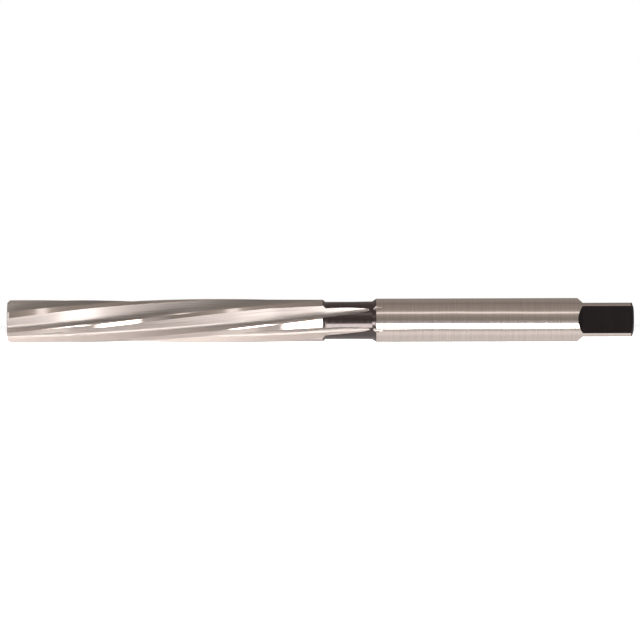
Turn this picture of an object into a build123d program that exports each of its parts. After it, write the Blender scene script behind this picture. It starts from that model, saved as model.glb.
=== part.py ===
from build123d import *
import os
from math import atan2, cos, degrees, radians, sin, sqrt, tan

# Hand reamer for 8 mm holes, turned, milled and ground from one bar of
# high-speed steel. The tool lies along X with its cutting end at -X and its
# driving square at +X. One flat of the square faces -Y and one faces +Z.
# The origin is on the axis, halfway along the length.

os.makedirs("parts", exist_ok=True)

# overall sizes, in mm
total_len = 115.0
cutter_d = 8.01
shank_d = 7.97
neck_d = 6.95

# stations along the axis, counted from the cutting end
bevel_len = 0.5
taper_len = 14.5
cutter_len = 57.9
cutter_shoulder = 0.5
neck_end = 67.0
shank_start = 67.75

# diameters of the leading bevel and of the front of the taper lead
bevel_front_d = 6.9
taper_front_d = 7.78

# driving square with its 45 degree run-outs, and the shallow end cone
square_across = 6.2
square_start = 104.7
end_cone_d = 4.7
end_cone_len = 0.58

# lathe centres in both ends
centre_angle = 60.0
front_centre_d = 2.12
front_pilot_d = 1.0
front_pilot_depth = 1.9
rear_centre_d = 3.35
rear_pilot_d = 1.6
rear_pilot_depth = 3.0
pilot_tip = 0.25

# teeth: left-hand spiral for right-hand cutting, opposite teeth in line
helix_angle = 6.8
tooth_steps = [62.08, 59.88, 58.03, 62.08, 59.88, 58.03]
first_root_angle = 16.6
root_angle_station = 56.8

# flute section: a near-radial cutting face, a small round root and a long flat back
core_r = 2.46
root_r = 0.56
face_slope = 14.0
back_slope = 69.0
face_reach = 2.4
back_reach = 3.6

# path of the fluting wheel: the helix, then nearly straight on with a slight
# climb, then the wheel's own arc out of the bar
straight_start = 48.0
slide_rate = 0.085
turn_rate = 0.5
climb_rate = 0.012
exit_start = 60.5
wheel_r = 38.0
helix_sections = 8
exit_sections = 6

# land: a narrow round margin with one flat relief behind it
margin_angle = 3.2
front_margin_angle = 0.2
margin_growth = 5.0
relief_angle = 14.5
front_relief_angle = 20.0
relief_len = 2.3
relief_lead = 0.3
relief_sections = 12
bevel_overrun = 0.2

lead_in = 1.5
mid = total_len / 2
lathe_centres = [
    (-mid, front_centre_d, front_pilot_d, front_pilot_depth),
    (mid, rear_centre_d, rear_pilot_d, rear_pilot_depth),
]
twist_per_mm = degrees(tan(radians(helix_angle)) / (cutter_d / 2))
bevel_rate = (taper_front_d - bevel_front_d) / 2 / bevel_len
flute_end = exit_start + sqrt(2 * wheel_r * (cutter_d / 2 - core_r))
relief_end = (cutter_len + neck_end) / 2


def wheel_lift(station):
    """Height of the fluting wheel above its level path."""
    climb = climb_rate * max(0.0, station - straight_start)
    arc = max(0.0, station - exit_start) ** 2 / (2 * wheel_r)
    return climb + arc


def wheel_slide(station):
    """Sideways way of the fluting wheel after the helix, in the section's own x."""
    return slide_rate * max(0.0, station - straight_start)


def lead_share(station):
    """How far the taper lead has opened, from 0 at the bevel to 1."""
    return min(1.0, max(0.0, (station - bevel_len) / (taper_len - bevel_len)))


def lead_radius(station):
    """Radius at the cutting edges behind the bevel."""
    return (taper_front_d + (cutter_d - taper_front_d) * lead_share(station)) / 2


def bevel_radius(station):
    """Radius at the cutting edges on the bevel, carried on past both ends."""
    return bevel_front_d / 2 + bevel_rate * station


def root_turn(station):
    """Angle of the first flute's root above the front, seen from -Y."""
    helix = twist_per_mm * (min(station, straight_start) - root_angle_station)
    return first_root_angle + helix + turn_rate * max(0.0, station - straight_start)


def margin_at(station):
    """Width of the round margin as an angle: it opens near the end of the lead."""
    return front_margin_angle + (margin_angle - front_margin_angle) * lead_share(station) ** margin_growth


def fall_at(station):
    """Angle by which the relief falls away behind the margin."""
    return front_relief_angle + (relief_angle - front_relief_angle) * lead_share(station)


def section_plane(station, angle):
    """Plane across the axis whose own y points outward at the angle."""
    turn = radians(angle)
    return Plane(
        origin=(station - mid, 0, 0),
        x_dir=(0, sin(turn), cos(turn)),
        z_dir=(1, 0, 0),
    )


# blank: cutting end, neck, shank and end cone in one turning
with BuildPart() as hand_reamer:
    with BuildSketch(Plane.XY):
        with BuildLine():
            Polyline(
                (-mid, 0),
                (-mid, bevel_front_d / 2),
                (bevel_len - mid, taper_front_d / 2),
                (taper_len - mid, cutter_d / 2),
                (cutter_len - mid, cutter_d / 2),
                (cutter_len + cutter_shoulder - mid, neck_d / 2),
                (neck_end - mid, neck_d / 2),
                (shank_start - mid, shank_d / 2),
                (mid - end_cone_len, shank_d / 2),
                (mid, end_cone_d / 2),
                (mid, 0),
                close=True,
            )
        make_face()
    revolve(axis=Axis.X)

    # lathe centres: a 60 degree cone with a pilot hole behind it
    for end, mouth_d, pilot_d, pilot_depth in lathe_centres:
        inward = -end / mid
        cone_depth = (mouth_d - pilot_d) / 2 / tan(radians(centre_angle / 2))
        with BuildSketch(Plane.XY):
            with BuildLine():
                Polyline(
                    (end, 0),
                    (end, mouth_d / 2),
                    (end + inward * cone_depth, pilot_d / 2),
                    (end + inward * pilot_depth, pilot_d / 2),
                    (end + inward * (pilot_depth + pilot_tip * pilot_d), 0),
                    close=True,
                )
            make_face()
    revolve(axis=Axis.X, mode=Mode.SUBTRACT)

# driving square: each flat climbs back out of the bar at 45 degrees
flat_depth = (shank_d - square_across) / 2
with BuildPart(mode=Mode.PRIVATE) as flat_cut:
    with BuildSketch(Plane.XZ):
        with BuildLine():
            Polyline(
                (square_start - shank_d - mid, square_across / 2 + flat_depth + shank_d),
                (square_start + flat_depth - mid, square_across / 2),
                (mid + shank_d, square_across / 2),
                (mid + shank_d, square_across / 2 + flat_depth + shank_d),
                close=True,
            )
        make_face()
    extrude(amount=shank_d, both=True)

# flute section, drawn with its root straight above the axis
face_lean = radians(face_slope)
back_lean = radians(back_slope)
face_foot = (-root_r * cos(face_lean), core_r + root_r - root_r * sin(face_lean))
back_foot = (root_r * cos(back_lean), core_r + root_r - root_r * sin(back_lean))
face_way = (sin(face_lean), -cos(face_lean))
back_way = (sin(back_lean), cos(back_lean))
face_top = (face_foot[0] - face_reach * face_way[0], face_foot[1] - face_reach * face_way[1])
back_top = (back_foot[0] + back_reach * back_way[0], back_foot[1] + back_reach * back_way[1])


def edge_turn(station, radius):
    """Angle of the first cutting edge, where its face meets the radius."""
    foot_x = face_foot[0] + wheel_slide(station)
    foot_y = face_foot[1] + wheel_lift(station)
    along = foot_y * cos(face_lean) - foot_x * sin(face_lean)
    reach = sqrt(along**2 + radius**2 - foot_x**2 - foot_y**2) - along
    edge_x = foot_x - reach * sin(face_lean)
    edge_y = foot_y + reach * cos(face_lean)
    return root_turn(station) + degrees(atan2(edge_x, edge_y))


def relief_outline(radius, fall_angle):
    """Corners of the relief cutter where the cutting edge is at the radius."""
    fall = radians(fall_angle)
    return [
        (relief_lead * cos(fall), radius + relief_lead * sin(fall)),
        (-relief_len * cos(fall), radius - relief_len * sin(fall)),
        (-relief_len, radius + relief_len),
        (0, radius + relief_len),
    ]


# flute cutter: the wheel's section carried along its path
helix_step = (straight_start + lead_in) / helix_sections
exit_step = (flute_end - straight_start) / exit_sections
helix_stations = [count * helix_step - lead_in for count in range(helix_sections)]
exit_stations = [straight_start + count * exit_step for count in range(exit_sections + 1)]
with BuildPart(mode=Mode.PRIVATE) as flute:
    for station in helix_stations + exit_stations:
        slide = wheel_slide(station)
        lift = wheel_lift(station)
        with BuildSketch(section_plane(station, root_turn(station))):
            with BuildLine():
                Spline(
                    (face_top[0] + slide, face_top[1] + lift),
                    (face_foot[0] + slide, face_foot[1] + lift),
                    (slide, core_r + lift),
                    (back_foot[0] + slide, back_foot[1] + lift),
                    (back_top[0] + slide, back_top[1] + lift),
                    tangents=[face_way, face_way, (1, 0), back_way, back_way],
                )
                Line(
                    (back_top[0] + slide, back_top[1] + lift),
                    (face_top[0] + slide, face_top[1] + lift),
                )
            make_face()
    loft()

# relief cutter: the flat that falls away behind each margin
relief_step = relief_end / (relief_sections - 1)
relief_edge = [(i * relief_step, lead_radius(i * relief_step)) for i in range(relief_sections)]
with BuildPart(mode=Mode.PRIVATE) as relief:
    for station, radius in relief_edge:
        with BuildSketch(section_plane(station, edge_turn(station, radius) - margin_at(station))):
            with BuildLine():
                Polyline(*relief_outline(radius, fall_at(station)), close=True)
            make_face()
    loft()

# bevel relief cutter: the same flat, following the 45 degree bevel
bevel_ends = (-bevel_len, bevel_len + bevel_overrun)
with BuildPart(mode=Mode.PRIVATE) as bevel_relief:
    for station in bevel_ends:
        radius = bevel_radius(station)
        with BuildSketch(section_plane(station, edge_turn(station, radius) - front_margin_angle)):
            with BuildLine():
                Polyline(*relief_outline(radius, front_relief_angle), close=True)
            make_face()
    loft()

with hand_reamer:
    for quarter in range(4):
        add(flat_cut.part.rotate(Axis.X, 90 * quarter), mode=Mode.SUBTRACT)
    turned = 0.0
    for step in tooth_steps:
        add(flute.part.rotate(Axis.X, turned), mode=Mode.SUBTRACT)
        add(relief.part.rotate(Axis.X, turned), mode=Mode.SUBTRACT)
        add(bevel_relief.part.rotate(Axis.X, turned), mode=Mode.SUBTRACT)
        turned += step

hand_reamer.part.label = "hand_reamer"
export_step(hand_reamer.part, "parts/hand_reamer.step")
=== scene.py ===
import math

import bmesh
import bpy
import numpy as np
from mathutils import Matrix, Vector


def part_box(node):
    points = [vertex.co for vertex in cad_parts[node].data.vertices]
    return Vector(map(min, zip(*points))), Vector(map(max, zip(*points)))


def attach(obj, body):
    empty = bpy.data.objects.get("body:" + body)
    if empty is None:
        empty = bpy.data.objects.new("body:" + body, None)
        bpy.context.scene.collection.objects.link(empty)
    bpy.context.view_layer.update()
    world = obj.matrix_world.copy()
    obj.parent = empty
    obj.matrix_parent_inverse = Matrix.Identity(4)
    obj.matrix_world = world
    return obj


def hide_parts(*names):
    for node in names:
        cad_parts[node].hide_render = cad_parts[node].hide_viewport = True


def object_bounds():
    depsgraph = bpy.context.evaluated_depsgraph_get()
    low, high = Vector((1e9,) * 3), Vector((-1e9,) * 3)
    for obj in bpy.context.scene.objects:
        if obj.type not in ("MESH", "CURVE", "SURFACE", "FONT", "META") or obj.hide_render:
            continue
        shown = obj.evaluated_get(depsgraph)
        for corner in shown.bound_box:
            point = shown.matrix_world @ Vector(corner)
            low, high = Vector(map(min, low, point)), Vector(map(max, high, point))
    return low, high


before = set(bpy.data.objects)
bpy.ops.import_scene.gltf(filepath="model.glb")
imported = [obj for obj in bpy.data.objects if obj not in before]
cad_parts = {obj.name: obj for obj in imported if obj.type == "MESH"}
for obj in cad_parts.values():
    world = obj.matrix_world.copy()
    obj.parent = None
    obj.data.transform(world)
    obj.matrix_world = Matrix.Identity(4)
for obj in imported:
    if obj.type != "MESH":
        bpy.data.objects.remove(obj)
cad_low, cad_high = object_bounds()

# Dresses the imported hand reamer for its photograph. The tool lies along X with
# its cutting end at -X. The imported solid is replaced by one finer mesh, built
# ring by ring from the same sizes, so that the ground faces reflect cleanly.
# The tool's sizes are in millimetres and become metres when the mesh is made.
# The stage, the light and the camera are in metres.

MM = 0.001

# sizes taken from the frame
node_low, node_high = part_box("hand_reamer")
TOTAL_LEN = (node_high.x - node_low.x) / MM
CUTTER_R = (node_high.z - node_low.z) / 2 / MM
MID = TOTAL_LEN / 2

# blank: radii, and stations counted from the cutting end
SHANK_R = 3.985
NECK_R = 3.475
BEVEL_FRONT_R = 3.45
TAPER_FRONT_R = 3.89
BEVEL_LEN = 0.5
TAPER_LEN = 14.5
CUTTER_LEN = 57.9
CUTTER_SHOULDER = 0.5
NECK_END = 67.0
SHANK_START = 67.75
END_CONE_LEN = 0.58
END_CONE_R = 2.35

# driving square
SQUARE_HALF = 3.1
SQUARE_START = 104.7

# lathe centres: a cone and a pilot hole, whose tip is so many radii deep and
# ends in a flat of so small a share of its radius
CENTRE_HALF_ANGLE = 30.0
FRONT_CENTRE_R = 1.06
FRONT_PILOT_R = 0.5
FRONT_PILOT_DEPTH = 1.9
REAR_CENTRE_R = 1.675
REAR_PILOT_R = 0.8
REAR_PILOT_DEPTH = 3.0
PILOT_TIP = 0.5
PILOT_TIP_LEFT = 0.02

# teeth: their turn in degrees a millimetre, and their steps around the axis
TWIST = 1.7054
TOOTH_STEPS = [62.08, 59.88, 58.03, 62.08, 59.88, 58.03]
FIRST_ROOT_ANGLE = 16.6
ROOT_ANGLE_STATION = 56.8

# flute section: a near-radial cutting face, a round root and a long flat back
CORE_R = 2.46
ROOT_R = 0.56
FACE_SLOPE = 14.0
BACK_SLOPE = 69.0
FACE_REACH = 2.4
BACK_REACH = 3.6

# path of the fluting wheel: helix, nearly straight stretch and the wheel's own arc
STRAIGHT_START = 48.0
SLIDE_RATE = 0.085
TURN_RATE = 0.5
CLIMB_RATE = 0.012
EXIT_START = 60.5
WHEEL_R = 38.0

# land: a narrow round margin with one flat relief behind it
MARGIN_ANGLE = 3.2
FRONT_MARGIN_ANGLE = 0.2
MARGIN_GROWTH = 5.0
RELIEF_ANGLE = 14.5
FRONT_RELIEF_ANGLE = 20.0

# how finely a ring is divided: the margin, relief and flute of each tooth, the
# last steps of the flute being the cutting face. A radian of bend in the flute
# counts as so many millimetres of its length. In the neck, which has no margin,
# the margin's columns take a small share of the land.
MARGIN_STEPS = 3
RELIEF_STEPS = 13
FLUTE_STEPS = 30
FACE_STEPS = 8
BEND_WEIGHT = 2.0
NECK_MARGIN_SHARE = 0.08
TOOTH_POINTS = MARGIN_STEPS + RELIEF_STEPS + FLUTE_STEPS
RING_POINTS = TOOTH_POINTS * len(TOOTH_STEPS)
QUARTER_POINTS = RING_POINTS // 4
CORNER_POINTS = QUARTER_POINTS // 4
FLAT_POINTS = QUARTER_POINTS - 2 * CORNER_POINTS
OUTLINE_POINTS = 240

# how far apart the rings stand on each stretch
BEVEL_STEP = 0.1
CUTTER_STEP = 0.7
SHOULDER_STEP = 0.1
NECK_STEP = 0.6
NECK_CONE_STEP = 0.3
CONE_CUT_STEP = 0.1
SHANK_CUT_STEP = 0.3
SHANK_STEP = 1.0
RUN_OUT_STEP = 0.15
SQUARE_STEP = 1.2
END_FLATS_STEP = 0.05
END_CONE_STEP = 0.1
STATION_DIGITS = 5

# further rings, at these distances from where an edge starts or ends
NEAR_SHOULDER = (0.03, 0.06)
NEAR_TIP = (0.01, 0.04, 0.1, 0.2, 0.4)
NEAR_CONE_CUT = (0.01, 0.04, 0.1)
NEAR_SQUARE = (0.004, 0.015, 0.035, 0.07, 0.12, 0.2)
NEAR_END_FLATS = (0.002, 0.008, 0.02)
PAST_TIP = 0.02

# where the flutes' run-outs are looked for, and in how many steps
RUN_OUT_LIMIT = 80.0
RUN_OUT_POINTS = 20001

# over the shank the mesh's columns turn from the teeth's places to the square's,
# this much faster than the shank is long, so that they arrive a little early
COLUMN_HASTE = 1.05

# joining of points, in metres, and the angle in degrees from which an edge is sharp
WELD_DISTANCE = 2e-7
SLIVER_LENGTH = 1e-7
SHARP_ANGLE = 9.5

# numbers of the finishes, as the faces carry them
GROUND_FLUTES, GROUND_FACES, GROUND_LANDS, GROUND_SHANK, BLACK_TURNED, BLACK_MILLED = range(6)

# grinding and turning lines: the coordinates that they follow and their scale
LENGTHWISE = ("UV", (0.12, 22.0, 1.0))
STREAKS = ("UV", (0.05, 5.0, 1.0))
CROSSWISE = ("Object", (9000.0, 120.0, 120.0))
RINGED = ("Object", (1500.0, 40.0, 40.0))
LINE_DETAIL = 3.0
LINE_ROUGHNESS = 0.6
LINE_HEIGHT = 0.00002
LINES_LOW = 0.3
LINES_HIGH = 0.7

# finishes: a dark and a light tone, roughness from and to, strength of the lines
STEEL_TONES = ((0.60, 0.555, 0.525), (0.70, 0.65, 0.615))
LAND_ROUGH = (0.05, 0.07)
LAND_LINES = 0.15
SHANK_ROUGH = (0.10, 0.16)
SHANK_LINES = 0.07
FACE_TONES = ((0.58, 0.55, 0.53), (0.71, 0.675, 0.65))
FACE_ROUGH = (0.80, 0.90)
FACE_LINES = 0.25
FLUTE_TONES = ((0.34, 0.322, 0.312), (0.535, 0.507, 0.49))
FLUTE_ROUGH = (0.62, 0.74)
FLUTE_LINES = 0.25
OXIDE_TONES = ((0.005, 0.002, 0.002), (0.012, 0.006, 0.006))
OXIDE_ROUGH = (0.06, 0.26)
OXIDE_LINES = 0.8
OXIDE_IOR = 1.85
OXIDE_TINT = (1.0, 0.92, 0.92, 1)
MATTE_TONES = ((0.004, 0.0025, 0.003), (0.008, 0.0055, 0.006))
MATTE_ROUGH = (0.40, 0.55)
MATTE_LINES = 0.5
MATTE_IOR = 1.2

# slow waves in the shank's shine
WAVE_SCALE = 70.0
WAVE_DETAIL = 1.0
WAVE_HEIGHT = 0.0004

# thin gloss over the satin flutes, which lean in degrees: up to the first station
# they face further up than the plain section, past the second further down
FLUTE_GLOSS_IOR = 1.7
FLUTE_GLOSS_ROUGH = 0.22
LEAN_START = 43.0
LEAN_END = 51.0
FRONT_LEAN = -4.0
REAR_LEAN = 8.0

# two bent cards around the tool, out of sight but mirrored in it: levels by
# elevation in degrees above the side that faces the camera
SURROUND_R = 0.6
SURROUND_HALF = 3.0
SURROUND_STEPS = 180
SURROUND_GLOW = 8.0
CANOPY_TINT = (1.0, 0.875, 0.79)
PAPER_TINT = (1.0, 0.925, 0.89)
CANOPY_LEVELS = [
    (0, 0.33), (6, 0.34), (16, 0.37), (27, 0.48), (33, 0.60), (36, 1.35), (41.5, 1.35),
    (44, 0.62), (52, 0.45), (62, 0.40), (78, 0.37), (92, 0.33), (99, 0.28), (107, 0.33),
    (120, 0.37), (145, 0.37), (160, 0.30), (180, 0.28),
]
PAPER_LEVELS = [
    (-180, 0.66), (-148, 0.70), (-140, 0.82), (-118, 0.86), (-106, 0.85), (-92, 0.89),
    (-84, 1.00), (-72, 1.06), (-64, 1.00), (-60, 0.72), (-53, 0.62), (-46, 0.72),
    (-44, 8.0), (-22, 8.0), (-19.5, 0.62), (-9, 0.50), (-4, 0.41), (0, 0.34),
]

# world, floor and lamp
WHITE = (1, 1, 1, 1)
WHITE_LEVEL = 1.0
WORLD_LEVEL = 0.55
FLOOR_SIZE = 6.0
FLOOR_COLOUR = (0.86, 0.86, 0.86, 1)
FLOOR_LIFT = 0.45
LAMP_PLACE = (0.1, -0.5, 0.75)
LAMP_SIZE = (0.5, 0.3)
LAMP_COLOUR = (1, 0.98, 0.96)
LAMP_POWER = 9.0

# camera: the photograph's scale, its centre on the tool and its slight roll
PIXELS = 640
PIXELS_PER_MM = 5.440
CENTRE_PIXEL = (320.4, 320.5)
ROLL = -0.183
CAMERA_DISTANCE = 0.9
SENSOR_WIDTH = 36.0
CLIP_START = 0.01
CLIP_END = 10.0


# the form of the tool

def blank_radius(station):
    """Radius of the turned blank before the flutes and the square are cut."""
    stations = [
        0, BEVEL_LEN, TAPER_LEN, CUTTER_LEN, CUTTER_LEN + CUTTER_SHOULDER,
        NECK_END, SHANK_START, TOTAL_LEN - END_CONE_LEN, TOTAL_LEN,
    ]
    radii = [
        BEVEL_FRONT_R, TAPER_FRONT_R, CUTTER_R, CUTTER_R, NECK_R,
        NECK_R, SHANK_R, SHANK_R, END_CONE_R,
    ]
    return float(np.interp(station, stations, radii))


def wheel_lift(station):
    """Height of the fluting wheel above its level path."""
    climb = CLIMB_RATE * np.maximum(0.0, station - STRAIGHT_START)
    return climb + np.maximum(0.0, station - EXIT_START) ** 2 / (2 * WHEEL_R)


def wheel_slide(station):
    """Sideways way of the fluting wheel after the helix, in the section's own x."""
    return SLIDE_RATE * np.maximum(0.0, station - STRAIGHT_START)


def bottom_radius(station):
    """Least distance of the flute's root from the axis."""
    return np.hypot(wheel_slide(station), CORE_R + ROOT_R + wheel_lift(station)) - ROOT_R


def lead_share(station):
    """How far the taper lead has opened, from 0 at the bevel to 1."""
    return min(1.0, max(0.0, (station - BEVEL_LEN) / (TAPER_LEN - BEVEL_LEN)))


def margin_at(station):
    """Width of the round margin as an angle: it opens near the end of the lead."""
    growth = lead_share(station) ** MARGIN_GROWTH
    return FRONT_MARGIN_ANGLE + (MARGIN_ANGLE - FRONT_MARGIN_ANGLE) * growth


def fall_at(station):
    """Angle by which the relief falls away behind the margin, in radians."""
    opening = RELIEF_ANGLE - FRONT_RELIEF_ANGLE
    return math.radians(FRONT_RELIEF_ANGLE + opening * lead_share(station))


def root_turn(station):
    """Angle of the first flute's root, above the side that faces the camera."""
    helix = TWIST * (min(station, STRAIGHT_START) - ROOT_ANGLE_STATION)
    return FIRST_ROOT_ANGLE + helix + TURN_RATE * max(0.0, station - STRAIGHT_START)


def edge_offset(station, radius):
    """Angle from a flute's root to the cutting edge on its face."""
    lean = math.radians(FACE_SLOPE)
    foot_x = wheel_slide(station) - ROOT_R * math.cos(lean)
    foot_y = CORE_R + ROOT_R - ROOT_R * math.sin(lean) + wheel_lift(station)
    along = foot_y * math.cos(lean) - foot_x * math.sin(lean)
    reach = math.sqrt(along**2 + radius**2 - foot_x**2 - foot_y**2) - along
    edge_x = foot_x - reach * math.sin(lean)
    edge_y = foot_y + reach * math.cos(lean)
    return math.degrees(math.atan2(edge_x, edge_y))


def relieved_radius(angles, margin_end, radius, blank, fall):
    """Radius of the land at the angles: the blank's, or the relief flat's if lower."""
    flat = radius * math.cos(fall) / np.cos(np.radians(angles - margin_end) + fall)
    return np.minimum(blank, flat)


def flute_outline():
    """Flute section with its root above the axis, from the back's top to the face's."""
    face, back = math.radians(FACE_SLOPE), math.radians(BACK_SLOPE)
    turns = np.linspace(-back, -math.pi + face, OUTLINE_POINTS)
    arc = np.stack([ROOT_R * np.cos(turns), CORE_R + ROOT_R + ROOT_R * np.sin(turns)], 1)
    face_top = arc[-1] + FACE_REACH * np.array([-math.sin(face), math.cos(face)])
    back_top = arc[0] + BACK_REACH * np.array([math.sin(back), math.cos(back)])
    shares = np.linspace(0, 1, OUTLINE_POINTS // 2, endpoint=False)[:, None]
    back_line = back_top + (arc[0] - back_top) * shares
    face_line = (arc[-1] + (face_top - arc[-1]) * (1 - shares))[::-1]
    return np.concatenate([back_line, arc, face_line])


def polar(x, y):
    """Angles from the section's own y, in degrees, and distances from the axis."""
    return np.degrees(np.arctan2(x, y)), np.hypot(x, y)


def clipped_flute(x, y, limits):
    """The part of a flute section below the limits, evenly divided, as angles and radii."""
    angles, radii = polar(x, y)
    over = radii - limits
    inside = np.flatnonzero(over < 0)
    if len(inside) == 0:
        lowest = np.argmin(radii)
        return np.full(FLUTE_STEPS + 1, angles[lowest]), np.full(FLUTE_STEPS + 1, limits[lowest])
    ends = []
    for last_in, first_out in ((inside[0], inside[0] - 1), (inside[-1], inside[-1] + 1)):
        share = over[last_in] / (over[last_in] - over[first_out])
        ends.append((
            x[last_in] + (x[first_out] - x[last_in]) * share,
            y[last_in] + (y[first_out] - y[last_in]) * share,
        ))
    path = np.array([ends[0], *zip(x[inside], y[inside]), ends[1]])
    steps = np.diff(path, axis=0)
    headings = np.unwrap(np.arctan2(steps[:, 1], steps[:, 0]))
    bends = np.abs(np.diff(headings, prepend=headings[0]))
    run = np.concatenate([[0], np.cumsum(np.hypot(*steps.T) + BEND_WEIGHT * bends)])
    even = np.linspace(0, run[-1], FLUTE_STEPS + 1)
    return polar(np.interp(even, run, path[:, 0]), np.interp(even, run, path[:, 1]))


def fluted_ring(station, outline):
    """Angles and radii of one cross-section, from the first cutting edge downward."""
    blank = blank_radius(station)
    relieved = station <= CUTTER_LEN + CUTTER_SHOULDER
    radius = blank if station <= CUTTER_LEN else CUTTER_R
    margin, fall = margin_at(station), fall_at(station)
    to_edge = edge_offset(station, radius) if relieved else 0.0
    slide, lift = wheel_slide(station), wheel_lift(station)
    x, y = outline[:, 0] + slide, outline[:, 1] + lift
    section_angles, _ = polar(x, y)
    back_side = section_angles > math.degrees(math.atan2(slide, CORE_R + ROOT_R + lift))

    # each flute's back ends on the relief of the tooth above it
    flutes = []
    for step in TOOTH_STEPS:
        limits = np.full(len(outline), blank)
        if relieved:
            margin_end = step + to_edge - margin
            land_radii = relieved_radius(section_angles, margin_end, radius, blank, fall)
            limits = np.where(back_side, land_radii, blank)
        flutes.append(clipped_flute(x, y, limits))

    roots = root_turn(station) - np.cumsum([0.0, *TOOTH_STEPS])
    angles, radii = [], []
    for tooth in range(len(TOOTH_STEPS)):
        edge = roots[tooth] + flutes[tooth - 1][0][-1]
        flute_angles, flute_radii = roots[tooth + 1] + flutes[tooth][0], flutes[tooth][1]
        heel = flute_angles[0]
        margin_end = roots[tooth] + to_edge - margin
        split = max(margin_end, heel) if relieved else edge - (edge - heel) * NECK_MARGIN_SHARE
        land = np.concatenate([
            np.linspace(edge, split, MARGIN_STEPS, endpoint=False),
            np.linspace(split, heel, RELIEF_STEPS, endpoint=False),
        ])
        land_radii = np.full(len(land), blank)
        if relieved:
            land_radii = relieved_radius(land, margin_end, radius, blank, fall)
        angles += [land, flute_angles[:-1]]
        radii += [land_radii, flute_radii[:-1]]
    return np.concatenate(angles), np.concatenate(radii)


def square_ring(station):
    """Angles and radii of the shank or square, falling from 45 degrees."""
    blank = blank_radius(station)
    half = max(SQUARE_HALF, SHANK_R - max(0.0, station - SQUARE_START))
    reach = math.degrees(math.acos(min(1.0, half / blank)))
    quarter = np.concatenate([
        np.linspace(45, reach, CORNER_POINTS, endpoint=False),
        np.linspace(reach, -reach, FLAT_POINTS, endpoint=False),
        np.linspace(-reach, -45, CORNER_POINTS, endpoint=False),
    ])
    angles = np.concatenate([quarter - 90 * turn for turn in range(4)])
    from_flat = (angles + 45) % 90 - 45
    return angles, np.minimum(blank, half / np.cos(np.radians(from_flat)))


# the rings along the tool

def stations_between(start, end, step, fine=()):
    """Evenly spaced stations from start to end, with more of them where fine says."""
    count = max(1, round((end - start) / step))
    stations = [*np.linspace(start, end, count + 1), *fine]
    return sorted({round(station, STATION_DIGITS) for station in stations})


def run_outs():
    """Where the flutes leave the neck, enter the cone behind it and leave the shank."""
    path = np.linspace(CUTTER_LEN, RUN_OUT_LIMIT, RUN_OUT_POINTS)
    bottom = bottom_radius(path)
    neck_tip = float(np.interp(NECK_R, bottom, path))
    shank_tip = float(np.interp(SHANK_R, bottom, path))
    cone = path[(path > NECK_END) & (path < SHANK_START)]
    gap = bottom_radius(cone) - np.array([blank_radius(station) for station in cone])
    cone_cut = float(cone[np.argmax(gap < 0)])
    return neck_tip, cone_cut, shank_tip


def fluted_stations(neck_tip, cone_cut, shank_tip):
    """Stations of all rings from the cutting end to the flutes' last tip."""
    neck_start = CUTTER_LEN + CUTTER_SHOULDER
    shoulder = [CUTTER_LEN + distance for distance in NEAR_SHOULDER]
    before_neck_tip = [neck_tip - distance for distance in NEAR_TIP]
    past_cone_cut = [cone_cut + distance for distance in NEAR_CONE_CUT]
    before_shank_tip = [shank_tip - distance for distance in NEAR_TIP]
    stations = stations_between(0, BEVEL_LEN, BEVEL_STEP)
    stations += stations_between(BEVEL_LEN, CUTTER_LEN, CUTTER_STEP)
    stations += stations_between(CUTTER_LEN, neck_start, SHOULDER_STEP, shoulder)
    stations += stations_between(neck_start, neck_tip, NECK_STEP, before_neck_tip)
    stations += [neck_tip + PAST_TIP, NECK_END]
    stations += stations_between(NECK_END, cone_cut, NECK_CONE_STEP)
    stations += stations_between(cone_cut, SHANK_START, CONE_CUT_STEP, past_cone_cut)
    stations += stations_between(SHANK_START, shank_tip, SHANK_CUT_STEP, before_shank_tip)
    return sorted(set(stations))


def square_stations():
    """Stations of the rings from the square's run-outs to the rear end."""
    square_end = TOTAL_LEN - END_CONE_LEN
    flats_in = SQUARE_START + SHANK_R - SQUARE_HALF
    cone_rate = (SHANK_R - END_CONE_R) / END_CONE_LEN
    flats_out = square_end + (SHANK_R - SQUARE_HALF) / cone_rate
    past_start = [SQUARE_START + distance for distance in NEAR_SQUARE]
    before_out = [flats_out - distance for distance in NEAR_END_FLATS]
    stations = stations_between(SQUARE_START, flats_in, RUN_OUT_STEP, past_start)
    stations += stations_between(flats_in, square_end, SQUARE_STEP)
    stations += stations_between(square_end, flats_out, END_FLATS_STEP, before_out)
    stations += stations_between(flats_out, TOTAL_LEN, END_CONE_STEP)
    return sorted(set(stations))


def started_at(angles, shift):
    """The same falling angles, starting from a later point of the ring."""
    return np.roll(angles, -shift) - 360.0 * (np.arange(len(angles)) + shift >= len(angles))


def nearest_shift(ring, other):
    """How far to shift the other ring so that its points lie nearest to the first's."""
    gaps = [(ring - started_at(other, shift)).mean() for shift in range(len(other))]
    return int(np.argmin([abs(gap - 360 * round(gap / 360)) for gap in gaps]))


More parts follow.
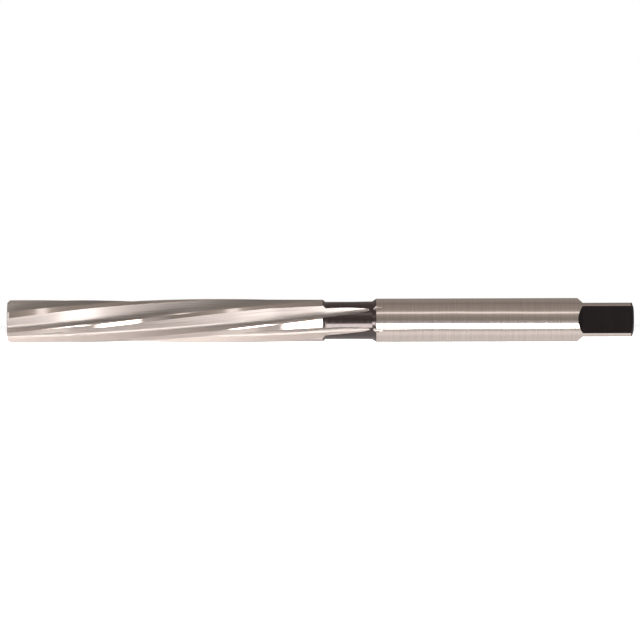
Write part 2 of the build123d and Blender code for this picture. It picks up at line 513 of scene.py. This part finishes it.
def build_rings():
    """Every ring on the outside, as station, angles and radii, and the flats' columns."""
    neck_tip, cone_cut, shank_tip = run_outs()
    outline = flute_outline()
    stations = fluted_stations(neck_tip, cone_cut, shank_tip)
    rings = [(station, *fluted_ring(station, outline)) for station in stations]

    tooth_angles = rings[-1][1]
    square_angles, _ = square_ring(SQUARE_START)
    shift = nearest_shift(tooth_angles, square_angles)

    def beside_teeth(angles):
        """The square's angles, shifted and turned to lie nearest to the teeth's."""
        moved = started_at(angles, shift)
        return moved + 360 * round((tooth_angles - moved).mean() / 360)

    shank_start = shank_tip + PAST_TIP
    turning = beside_teeth(square_angles) - tooth_angles
    for station in stations_between(shank_start, SQUARE_START, SHANK_STEP)[:-1]:
        share = min(1.0, (station - shank_start) / (SQUARE_START - shank_start) * COLUMN_HASTE)
        rings.append((station, tooth_angles + turning * share, np.full(RING_POINTS, SHANK_R)))
    for station in square_stations():
        angles, radii = square_ring(station)
        rings.append((station, beside_teeth(angles), np.roll(radii, -shift)))
    in_quarter = (np.arange(RING_POINTS) + shift) % QUARTER_POINTS
    flats = (in_quarter >= CORNER_POINTS) & (in_quarter < CORNER_POINTS + FLAT_POINTS)
    return rings, flats


def centre_rings(end, inward, mouth_r, pilot_r, pilot_depth, angles):
    """Rings down into a lathe centre: its mouth, its cone, its pilot and near its tip."""
    cone_depth = (mouth_r - pilot_r) / math.tan(math.radians(CENTRE_HALF_ANGLE))
    tip_depth = pilot_depth + PILOT_TIP * pilot_r * (1 - PILOT_TIP_LEFT)
    steps = [
        (0, mouth_r), (cone_depth, pilot_r), (pilot_depth, pilot_r),
        (tip_depth, pilot_r * PILOT_TIP_LEFT),
    ]
    return [(end + inward * depth, angles, np.full(RING_POINTS, radius)) for depth, radius in steps]


# the mesh

def ring_points(station, angles, radii):
    """Points of one ring, in millimetres."""
    turns = np.radians(angles)
    along = np.full(RING_POINTS, station - MID)
    return np.stack([along, -radii * np.cos(turns), radii * np.sin(turns)], 1)


def way_around(points):
    """Way around a ring from its first point to each point and back to the first."""
    steps = np.linalg.norm(np.diff(points, axis=0, append=points[:1]), axis=1)
    return np.concatenate([[0], np.cumsum(steps)])


def band_finishes(middle, flats):
    """Finish of each face of the band that has its middle at the station."""
    in_tooth = np.arange(RING_POINTS) % TOOTH_POINTS
    land = in_tooth < MARGIN_STEPS + RELIEF_STEPS
    cutting_face = in_tooth >= TOOTH_POINTS - FACE_STEPS
    if middle < SHANK_START:
        land_finish = GROUND_LANDS if middle < CUTTER_LEN else BLACK_TURNED
        return np.select([land, cutting_face], [land_finish, GROUND_FACES], GROUND_FLUTES)
    if middle < SQUARE_START:
        return np.full(RING_POINTS, GROUND_SHANK)
    if middle > TOTAL_LEN - END_CONE_LEN:
        return np.full(RING_POINTS, BLACK_MILLED)
    return np.where(flats, BLACK_MILLED, GROUND_SHANK)


def build_reamer():
    """The tool's mesh, with a finish on each face and coordinates for its grain."""
    rings, flats = build_rings()
    front_angles, rear_angles = rings[0][1], rings[-1][1]
    front = centre_rings(0.0, 1, FRONT_CENTRE_R, FRONT_PILOT_R, FRONT_PILOT_DEPTH, front_angles)
    rear = centre_rings(TOTAL_LEN, -1, REAR_CENTRE_R, REAR_PILOT_R, REAR_PILOT_DEPTH, rear_angles)
    every = front[::-1] + rings + rear
    points = [ring_points(*ring) for ring in every]
    grain = [way_around(ring) for ring in points]

    finishes = [np.full(RING_POINTS, GROUND_SHANK)] * (len(front) - 1)
    finishes += [np.full(RING_POINTS, GROUND_FACES)]
    for ring, after in zip(rings, rings[1:]):
        finishes.append(band_finishes((ring[0] + after[0]) / 2, flats))
    finishes += [np.full(RING_POINTS, BLACK_MILLED)] * len(rear)

    faces, corners = [], []
    for band in range(len(every) - 1):
        start, end = every[band][0], every[band + 1][0]
        first, second = band * RING_POINTS, (band + 1) * RING_POINTS
        for column in range(RING_POINTS):
            beside = (column + 1) % RING_POINTS
            faces.append((first + column, second + column, second + beside, first + beside))
            corners += [
                (start, grain[band][column]), (end, grain[band + 1][column]),
                (end, grain[band + 1][column + 1]), (start, grain[band][column + 1]),
            ]

    mesh = bpy.data.meshes.new("reamer_body")
    mesh.from_pydata((np.concatenate(points) * MM).tolist(), [], faces)
    layer = mesh.uv_layers.new(name="grain")
    layer.data.foreach_set("uv", np.array(corners, float).ravel())
    mesh.polygons.foreach_set("material_index", np.concatenate(finishes).tolist())
    mesh.update()
    body = bpy.data.objects.new("reamer_body", mesh)
    bpy.context.scene.collection.objects.link(body)
    return body


def clean_up(body):
    """Joins the points that meet at the flutes' tips and caps both pilot holes."""
    shape = bmesh.new()
    shape.from_mesh(body.data)
    bmesh.ops.remove_doubles(shape, verts=shape.verts, dist=WELD_DISTANCE)
    bmesh.ops.dissolve_degenerate(shape, edges=shape.edges, dist=SLIVER_LENGTH)
    rims = [edge for edge in shape.edges if edge.is_boundary]
    bmesh.ops.holes_fill(shape, edges=rims, sides=0)
    bmesh.ops.recalc_face_normals(shape, faces=shape.faces)
    for face in shape.faces:
        face.smooth = True
    shape.to_mesh(body.data)
    shape.free()
    body.data.set_sharp_from_angle(angle=math.radians(SHARP_ANGLE))


# finishes

def node_set(material):
    """The material's nodes, links and shader."""
    material.use_nodes = True
    nodes, links = material.node_tree.nodes, material.node_tree.links
    return nodes, links, nodes["Principled BSDF"]


def empty_node_set(material):
    """The material's nodes and links, with nothing in them."""
    nodes, links, _ = node_set(material)
    nodes.clear()
    return nodes, links


def grinding_lines(nodes, links, pattern):
    """Fine parallel lines: along the teeth, or around the axis."""
    coordinates, scale = pattern
    place = nodes.new("ShaderNodeTexCoord")
    stretch = nodes.new("ShaderNodeMapping")
    stretch.inputs["Scale"].default_value = scale
    links.new(place.outputs[coordinates], stretch.inputs["Vector"])
    noise = nodes.new("ShaderNodeTexNoise")
    noise.inputs["Scale"].default_value = 1.0
    noise.inputs["Detail"].default_value = LINE_DETAIL
    noise.inputs["Roughness"].default_value = LINE_ROUGHNESS
    links.new(stretch.outputs["Vector"], noise.inputs["Vector"])
    return noise.outputs["Fac"]


def two_tone(nodes, links, lines, tones):
    """A colour that follows the lines between a dark and a light tone."""
    ramp = nodes.new("ShaderNodeValToRGB")
    for stop, place, tone in zip(ramp.color_ramp.elements, (LINES_LOW, LINES_HIGH), tones):
        stop.position = place
        stop.color = (*tone, 1)
    links.new(lines, ramp.inputs["Fac"])
    return ramp.outputs["Color"]


def vary(nodes, links, lines, low, high):
    """A value that follows the lines between two limits."""
    spread = nodes.new("ShaderNodeMapRange")
    spread.inputs["From Min"].default_value = LINES_LOW
    spread.inputs["From Max"].default_value = LINES_HIGH
    spread.inputs["To Min"].default_value = low
    spread.inputs["To Max"].default_value = high
    links.new(lines, spread.inputs["Value"])
    return spread.outputs["Result"]


def lined_finish(name, pattern, tones, rough, strength):
    """A finish whose colour, gloss and relief follow one set of fine lines."""
    material = bpy.data.materials.new(name)
    nodes, links, shader = node_set(material)
    lines = grinding_lines(nodes, links, pattern)
    relief = nodes.new("ShaderNodeBump")
    relief.name = "line_relief"
    relief.inputs["Strength"].default_value = strength
    relief.inputs["Distance"].default_value = LINE_HEIGHT
    links.new(lines, relief.inputs["Height"])
    links.new(two_tone(nodes, links, lines, tones), shader.inputs["Base Color"])
    links.new(vary(nodes, links, lines, *rough), shader.inputs["Roughness"])
    links.new(relief.outputs["Normal"], shader.inputs["Normal"])
    return material


def ground_steel(name, pattern, tones, rough, strength):
    """Bare steel with its grinding lines."""
    material = lined_finish(name, pattern, tones, rough, strength)
    _, _, shader = node_set(material)
    shader.inputs["Metallic"].default_value = 1.0
    return material


def black_oxide(name, pattern, tones, rough, strength, ior):
    """Hardened black, with no bare metal showing."""
    material = lined_finish(name, pattern, tones, rough, strength)
    _, _, shader = node_set(material)
    shader.inputs["IOR"].default_value = ior
    return material


def satin_flutes():
    """Satin steel under a thin gloss, its normals leaning up at the front and down behind."""
    material = ground_steel("ground_flutes", STREAKS, FLUTE_TONES, FLUTE_ROUGH, FLUTE_LINES)
    nodes, links, shader = node_set(material)
    shader.inputs["Coat Weight"].default_value = 1.0
    shader.inputs["Coat IOR"].default_value = FLUTE_GLOSS_IOR
    shader.inputs["Coat Roughness"].default_value = FLUTE_GLOSS_ROUGH
    place = nodes.new("ShaderNodeTexCoord")
    split = nodes.new("ShaderNodeSeparateXYZ")
    links.new(place.outputs["Object"], split.inputs["Vector"])
    lean = nodes.new("ShaderNodeMapRange")
    lean.inputs["From Min"].default_value = (LEAN_START - MID) * MM
    lean.inputs["From Max"].default_value = (LEAN_END - MID) * MM
    lean.inputs["To Min"].default_value = math.radians(FRONT_LEAN)
    lean.inputs["To Max"].default_value = math.radians(REAR_LEAN)
    links.new(split.outputs["X"], lean.inputs["Value"])
    form = nodes.new("ShaderNodeNewGeometry")
    turned = nodes.new("ShaderNodeVectorRotate")
    turned.rotation_type = "X_AXIS"
    links.new(form.outputs["Normal"], turned.inputs["Vector"])
    links.new(lean.outputs["Result"], turned.inputs["Angle"])
    relief = nodes["line_relief"]
    links.new(turned.outputs["Vector"], relief.inputs["Normal"])
    links.new(relief.outputs["Normal"], shader.inputs["Coat Normal"])
    return material


def wavy_shank():
    """Ground steel whose streaks waver slowly along the shank."""
    material = ground_steel("ground_shank", CROSSWISE, STEEL_TONES, SHANK_ROUGH, SHANK_LINES)
    nodes, links, _ = node_set(material)
    place = nodes.new("ShaderNodeTexCoord")
    waves = nodes.new("ShaderNodeTexNoise")
    waves.inputs["Scale"].default_value = WAVE_SCALE
    waves.inputs["Detail"].default_value = WAVE_DETAIL
    links.new(place.outputs["Object"], waves.inputs["Vector"])
    swell = nodes.new("ShaderNodeBump")
    swell.inputs["Strength"].default_value = 1.0
    swell.inputs["Distance"].default_value = WAVE_HEIGHT
    links.new(waves.outputs["Fac"], swell.inputs["Height"])
    links.new(swell.outputs["Normal"], nodes["line_relief"].inputs["Normal"])
    return material


def black_neck():
    """Hardened black with fine turning rings, reddish where it mirrors dimly."""
    material = black_oxide("black_turned", RINGED, OXIDE_TONES, OXIDE_ROUGH, OXIDE_LINES, OXIDE_IOR)
    _, _, shader = node_set(material)
    shader.inputs["Specular Tint"].default_value = OXIDE_TINT
    return material


def finish_reamer(body):
    """Gives the body its finishes, in the order of the numbers that its faces carry."""
    for material in (
        satin_flutes(),
        ground_steel("ground_faces", LENGTHWISE, FACE_TONES, FACE_ROUGH, FACE_LINES),
        ground_steel("ground_lands", LENGTHWISE, STEEL_TONES, LAND_ROUGH, LAND_LINES),
        wavy_shank(),
        black_neck(),
        black_oxide("black_milled", CROSSWISE, MATTE_TONES, MATTE_ROUGH, MATTE_LINES, MATTE_IOR),
    ):
        body.data.materials.append(material)


# stage, light and camera

def card_glow(name, levels, tint):
    """A card's glow, graded by the elevation that is kept in its first UV value."""
    material = bpy.data.materials.new(name)
    nodes, links = empty_node_set(material)
    angle = nodes.new("ShaderNodeUVMap")
    angle.uv_map = "angle"
    split = nodes.new("ShaderNodeSeparateXYZ")
    links.new(angle.outputs["UV"], split.inputs["Vector"])
    ramp = nodes.new("ShaderNodeValToRGB")
    stops = ramp.color_ramp.elements
    low, high = levels[0][0], levels[-1][0]

    # what glows brighter than white has the paper's tint on both cards
    for count, (elevation, level) in enumerate(levels):
        share = (elevation - low) / (high - low)
        stop = stops[count] if count < 2 else stops.new(share)
        stop.position = share
        stop_tint = PAPER_TINT if level > WHITE_LEVEL else tint
        stop.color = (*(level / SURROUND_GLOW * part for part in stop_tint), 1)
    links.new(split.outputs["X"], ramp.inputs["Fac"])
    glow = nodes.new("ShaderNodeEmission")
    glow.inputs["Strength"].default_value = SURROUND_GLOW
    links.new(ramp.outputs["Color"], glow.inputs["Color"])
    out = nodes.new("ShaderNodeOutputMaterial")
    links.new(glow.outputs["Emission"], out.inputs["Surface"])
    return material


def make_card(name, levels, tint):
    """One side of the surround, bent about the tool's axis and seen only in reflections."""
    low, high = levels[0][0], levels[-1][0]
    elevations = np.linspace(low, high, SURROUND_STEPS + 1)
    turns = np.radians(elevations)
    vertices = [
        (x, -SURROUND_R * math.cos(turn), SURROUND_R * math.sin(turn))
        for turn in turns for x in (-SURROUND_HALF, SURROUND_HALF)
    ]
    faces = [(2 * i, 2 * i + 1, 2 * i + 3, 2 * i + 2) for i in range(SURROUND_STEPS)]
    shares = (elevations - low) / (high - low)
    mesh = bpy.data.meshes.new(name)
    mesh.from_pydata(vertices, [], faces)
    layer = mesh.uv_layers.new(name="angle")
    corners = [(shares[vertex // 2], 0.0) for face in faces for vertex in face]
    layer.data.foreach_set("uv", np.array(corners, float).ravel())
    mesh.materials.append(card_glow(name, levels, tint))
    card = bpy.data.objects.new(name, mesh)
    bpy.context.scene.collection.objects.link(card)
    card.visible_camera = False
    card.visible_diffuse = False
    card.visible_shadow = False


def greater(nodes, links, first, second):
    """The greater of two values."""
    chosen = nodes.new("ShaderNodeMath")
    chosen.operation = "MAXIMUM"
    links.new(first, chosen.inputs[0])
    links.new(second, chosen.inputs[1])
    return chosen.outputs["Value"]


def make_world():
    """White for what the camera, gloss and glass see, and a soft grey for the rest."""
    world = bpy.data.worlds.new("studio")
    bpy.context.scene.world = world
    world.use_nodes = True
    nodes, links = world.node_tree.nodes, world.node_tree.links
    ray = nodes.new("ShaderNodeLightPath").outputs
    seen = greater(nodes, links, ray["Is Camera Ray"], ray["Is Glossy Ray"])
    seen = greater(nodes, links, seen, ray["Is Transmission Ray"])
    level = nodes.new("ShaderNodeMapRange")
    level.inputs["To Min"].default_value = WORLD_LEVEL
    level.inputs["To Max"].default_value = WHITE_LEVEL
    links.new(seen, level.inputs["Value"])
    background = nodes["Background"]
    background.inputs["Color"].default_value = WHITE
    links.new(level.outputs["Result"], background.inputs["Strength"])


def floor_finish():
    """Pale and matte, lifted to white for the camera and clear for gloss and glass."""
    material = bpy.data.materials.new("pale_floor")
    nodes, links = empty_node_set(material)
    matte = nodes.new("ShaderNodeBsdfDiffuse")
    matte.inputs["Color"].default_value = FLOOR_COLOUR
    lift = nodes.new("ShaderNodeEmission")
    lift.inputs["Color"].default_value = WHITE
    lift.inputs["Strength"].default_value = FLOOR_LIFT
    lifted = nodes.new("ShaderNodeAddShader")
    links.new(matte.outputs["BSDF"], lifted.inputs[0])
    links.new(lift.outputs["Emission"], lifted.inputs[1])
    clear = nodes.new("ShaderNodeBsdfTransparent")
    ray = nodes.new("ShaderNodeLightPath").outputs
    by_camera = nodes.new("ShaderNodeMixShader")
    links.new(ray["Is Camera Ray"], by_camera.inputs["Fac"])
    links.new(matte.outputs["BSDF"], by_camera.inputs[1])
    links.new(lifted.outputs["Shader"], by_camera.inputs[2])
    by_gloss = nodes.new("ShaderNodeMixShader")
    mirrored = greater(nodes, links, ray["Is Glossy Ray"], ray["Is Transmission Ray"])
    links.new(mirrored, by_gloss.inputs["Fac"])
    links.new(by_camera.outputs["Shader"], by_gloss.inputs[1])
    links.new(clear.outputs["BSDF"], by_gloss.inputs[2])
    out = nodes.new("ShaderNodeOutputMaterial")
    links.new(by_gloss.outputs["Shader"], out.inputs["Surface"])
    return material


def make_floor():
    """Pale floor under the tool, which keeps its shadow."""
    bpy.ops.mesh.primitive_plane_add(size=FLOOR_SIZE, location=(0, 0, cad_low.z))
    floor = bpy.context.object
    floor.name = "floor"
    floor.data.materials.append(floor_finish())


def make_lamp():
    """Soft lamp above and in front of the tool, left out of what the tool mirrors."""
    light = bpy.data.lights.new("key", "AREA")
    light.shape = "RECTANGLE"
    light.size, light.size_y = LAMP_SIZE
    light.color = LAMP_COLOUR
    light.energy = LAMP_POWER
    lamp = bpy.data.objects.new("key", light)
    lamp.location = LAMP_PLACE
    lamp.rotation_euler = (-Vector(LAMP_PLACE)).to_track_quat("-Z", "Y").to_euler()
    lamp.visible_camera = False
    lamp.visible_glossy = False
    bpy.context.scene.collection.objects.link(lamp)


def make_camera():
    """Level camera facing the tool's side, far off, so that the tool hardly tapers."""
    camera = bpy.data.objects.new("camera", bpy.data.cameras.new("camera"))
    bpy.context.scene.collection.objects.link(camera)
    field = PIXELS / PIXELS_PER_MM * MM
    camera.data.sensor_width = SENSOR_WIDTH
    camera.data.lens = SENSOR_WIDTH * CAMERA_DISTANCE / field
    aside = (PIXELS / 2 - CENTRE_PIXEL[0]) / PIXELS_PER_MM * MM
    above = (CENTRE_PIXEL[1] - PIXELS / 2) / PIXELS_PER_MM * MM
    camera.location = (aside, -CAMERA_DISTANCE, above)
    level = Matrix.Rotation(math.radians(90), 3, "X")
    camera.rotation_euler = (level @ Matrix.Rotation(math.radians(ROLL), 3, "Z")).to_euler()
    camera.data.clip_start = CLIP_START
    camera.data.clip_end = CLIP_END
    bpy.context.scene.camera = camera


body = build_reamer()
clean_up(body)
finish_reamer(body)
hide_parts("hand_reamer")
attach(body, "root")

make_world()
make_floor()
make_card("canopy", CANOPY_LEVELS, CANOPY_TINT)
make_card("paper", PAPER_LEVELS, PAPER_TINT)
make_lamp()
make_camera()

bpy.context.scene.view_settings.view_transform = "Standard"
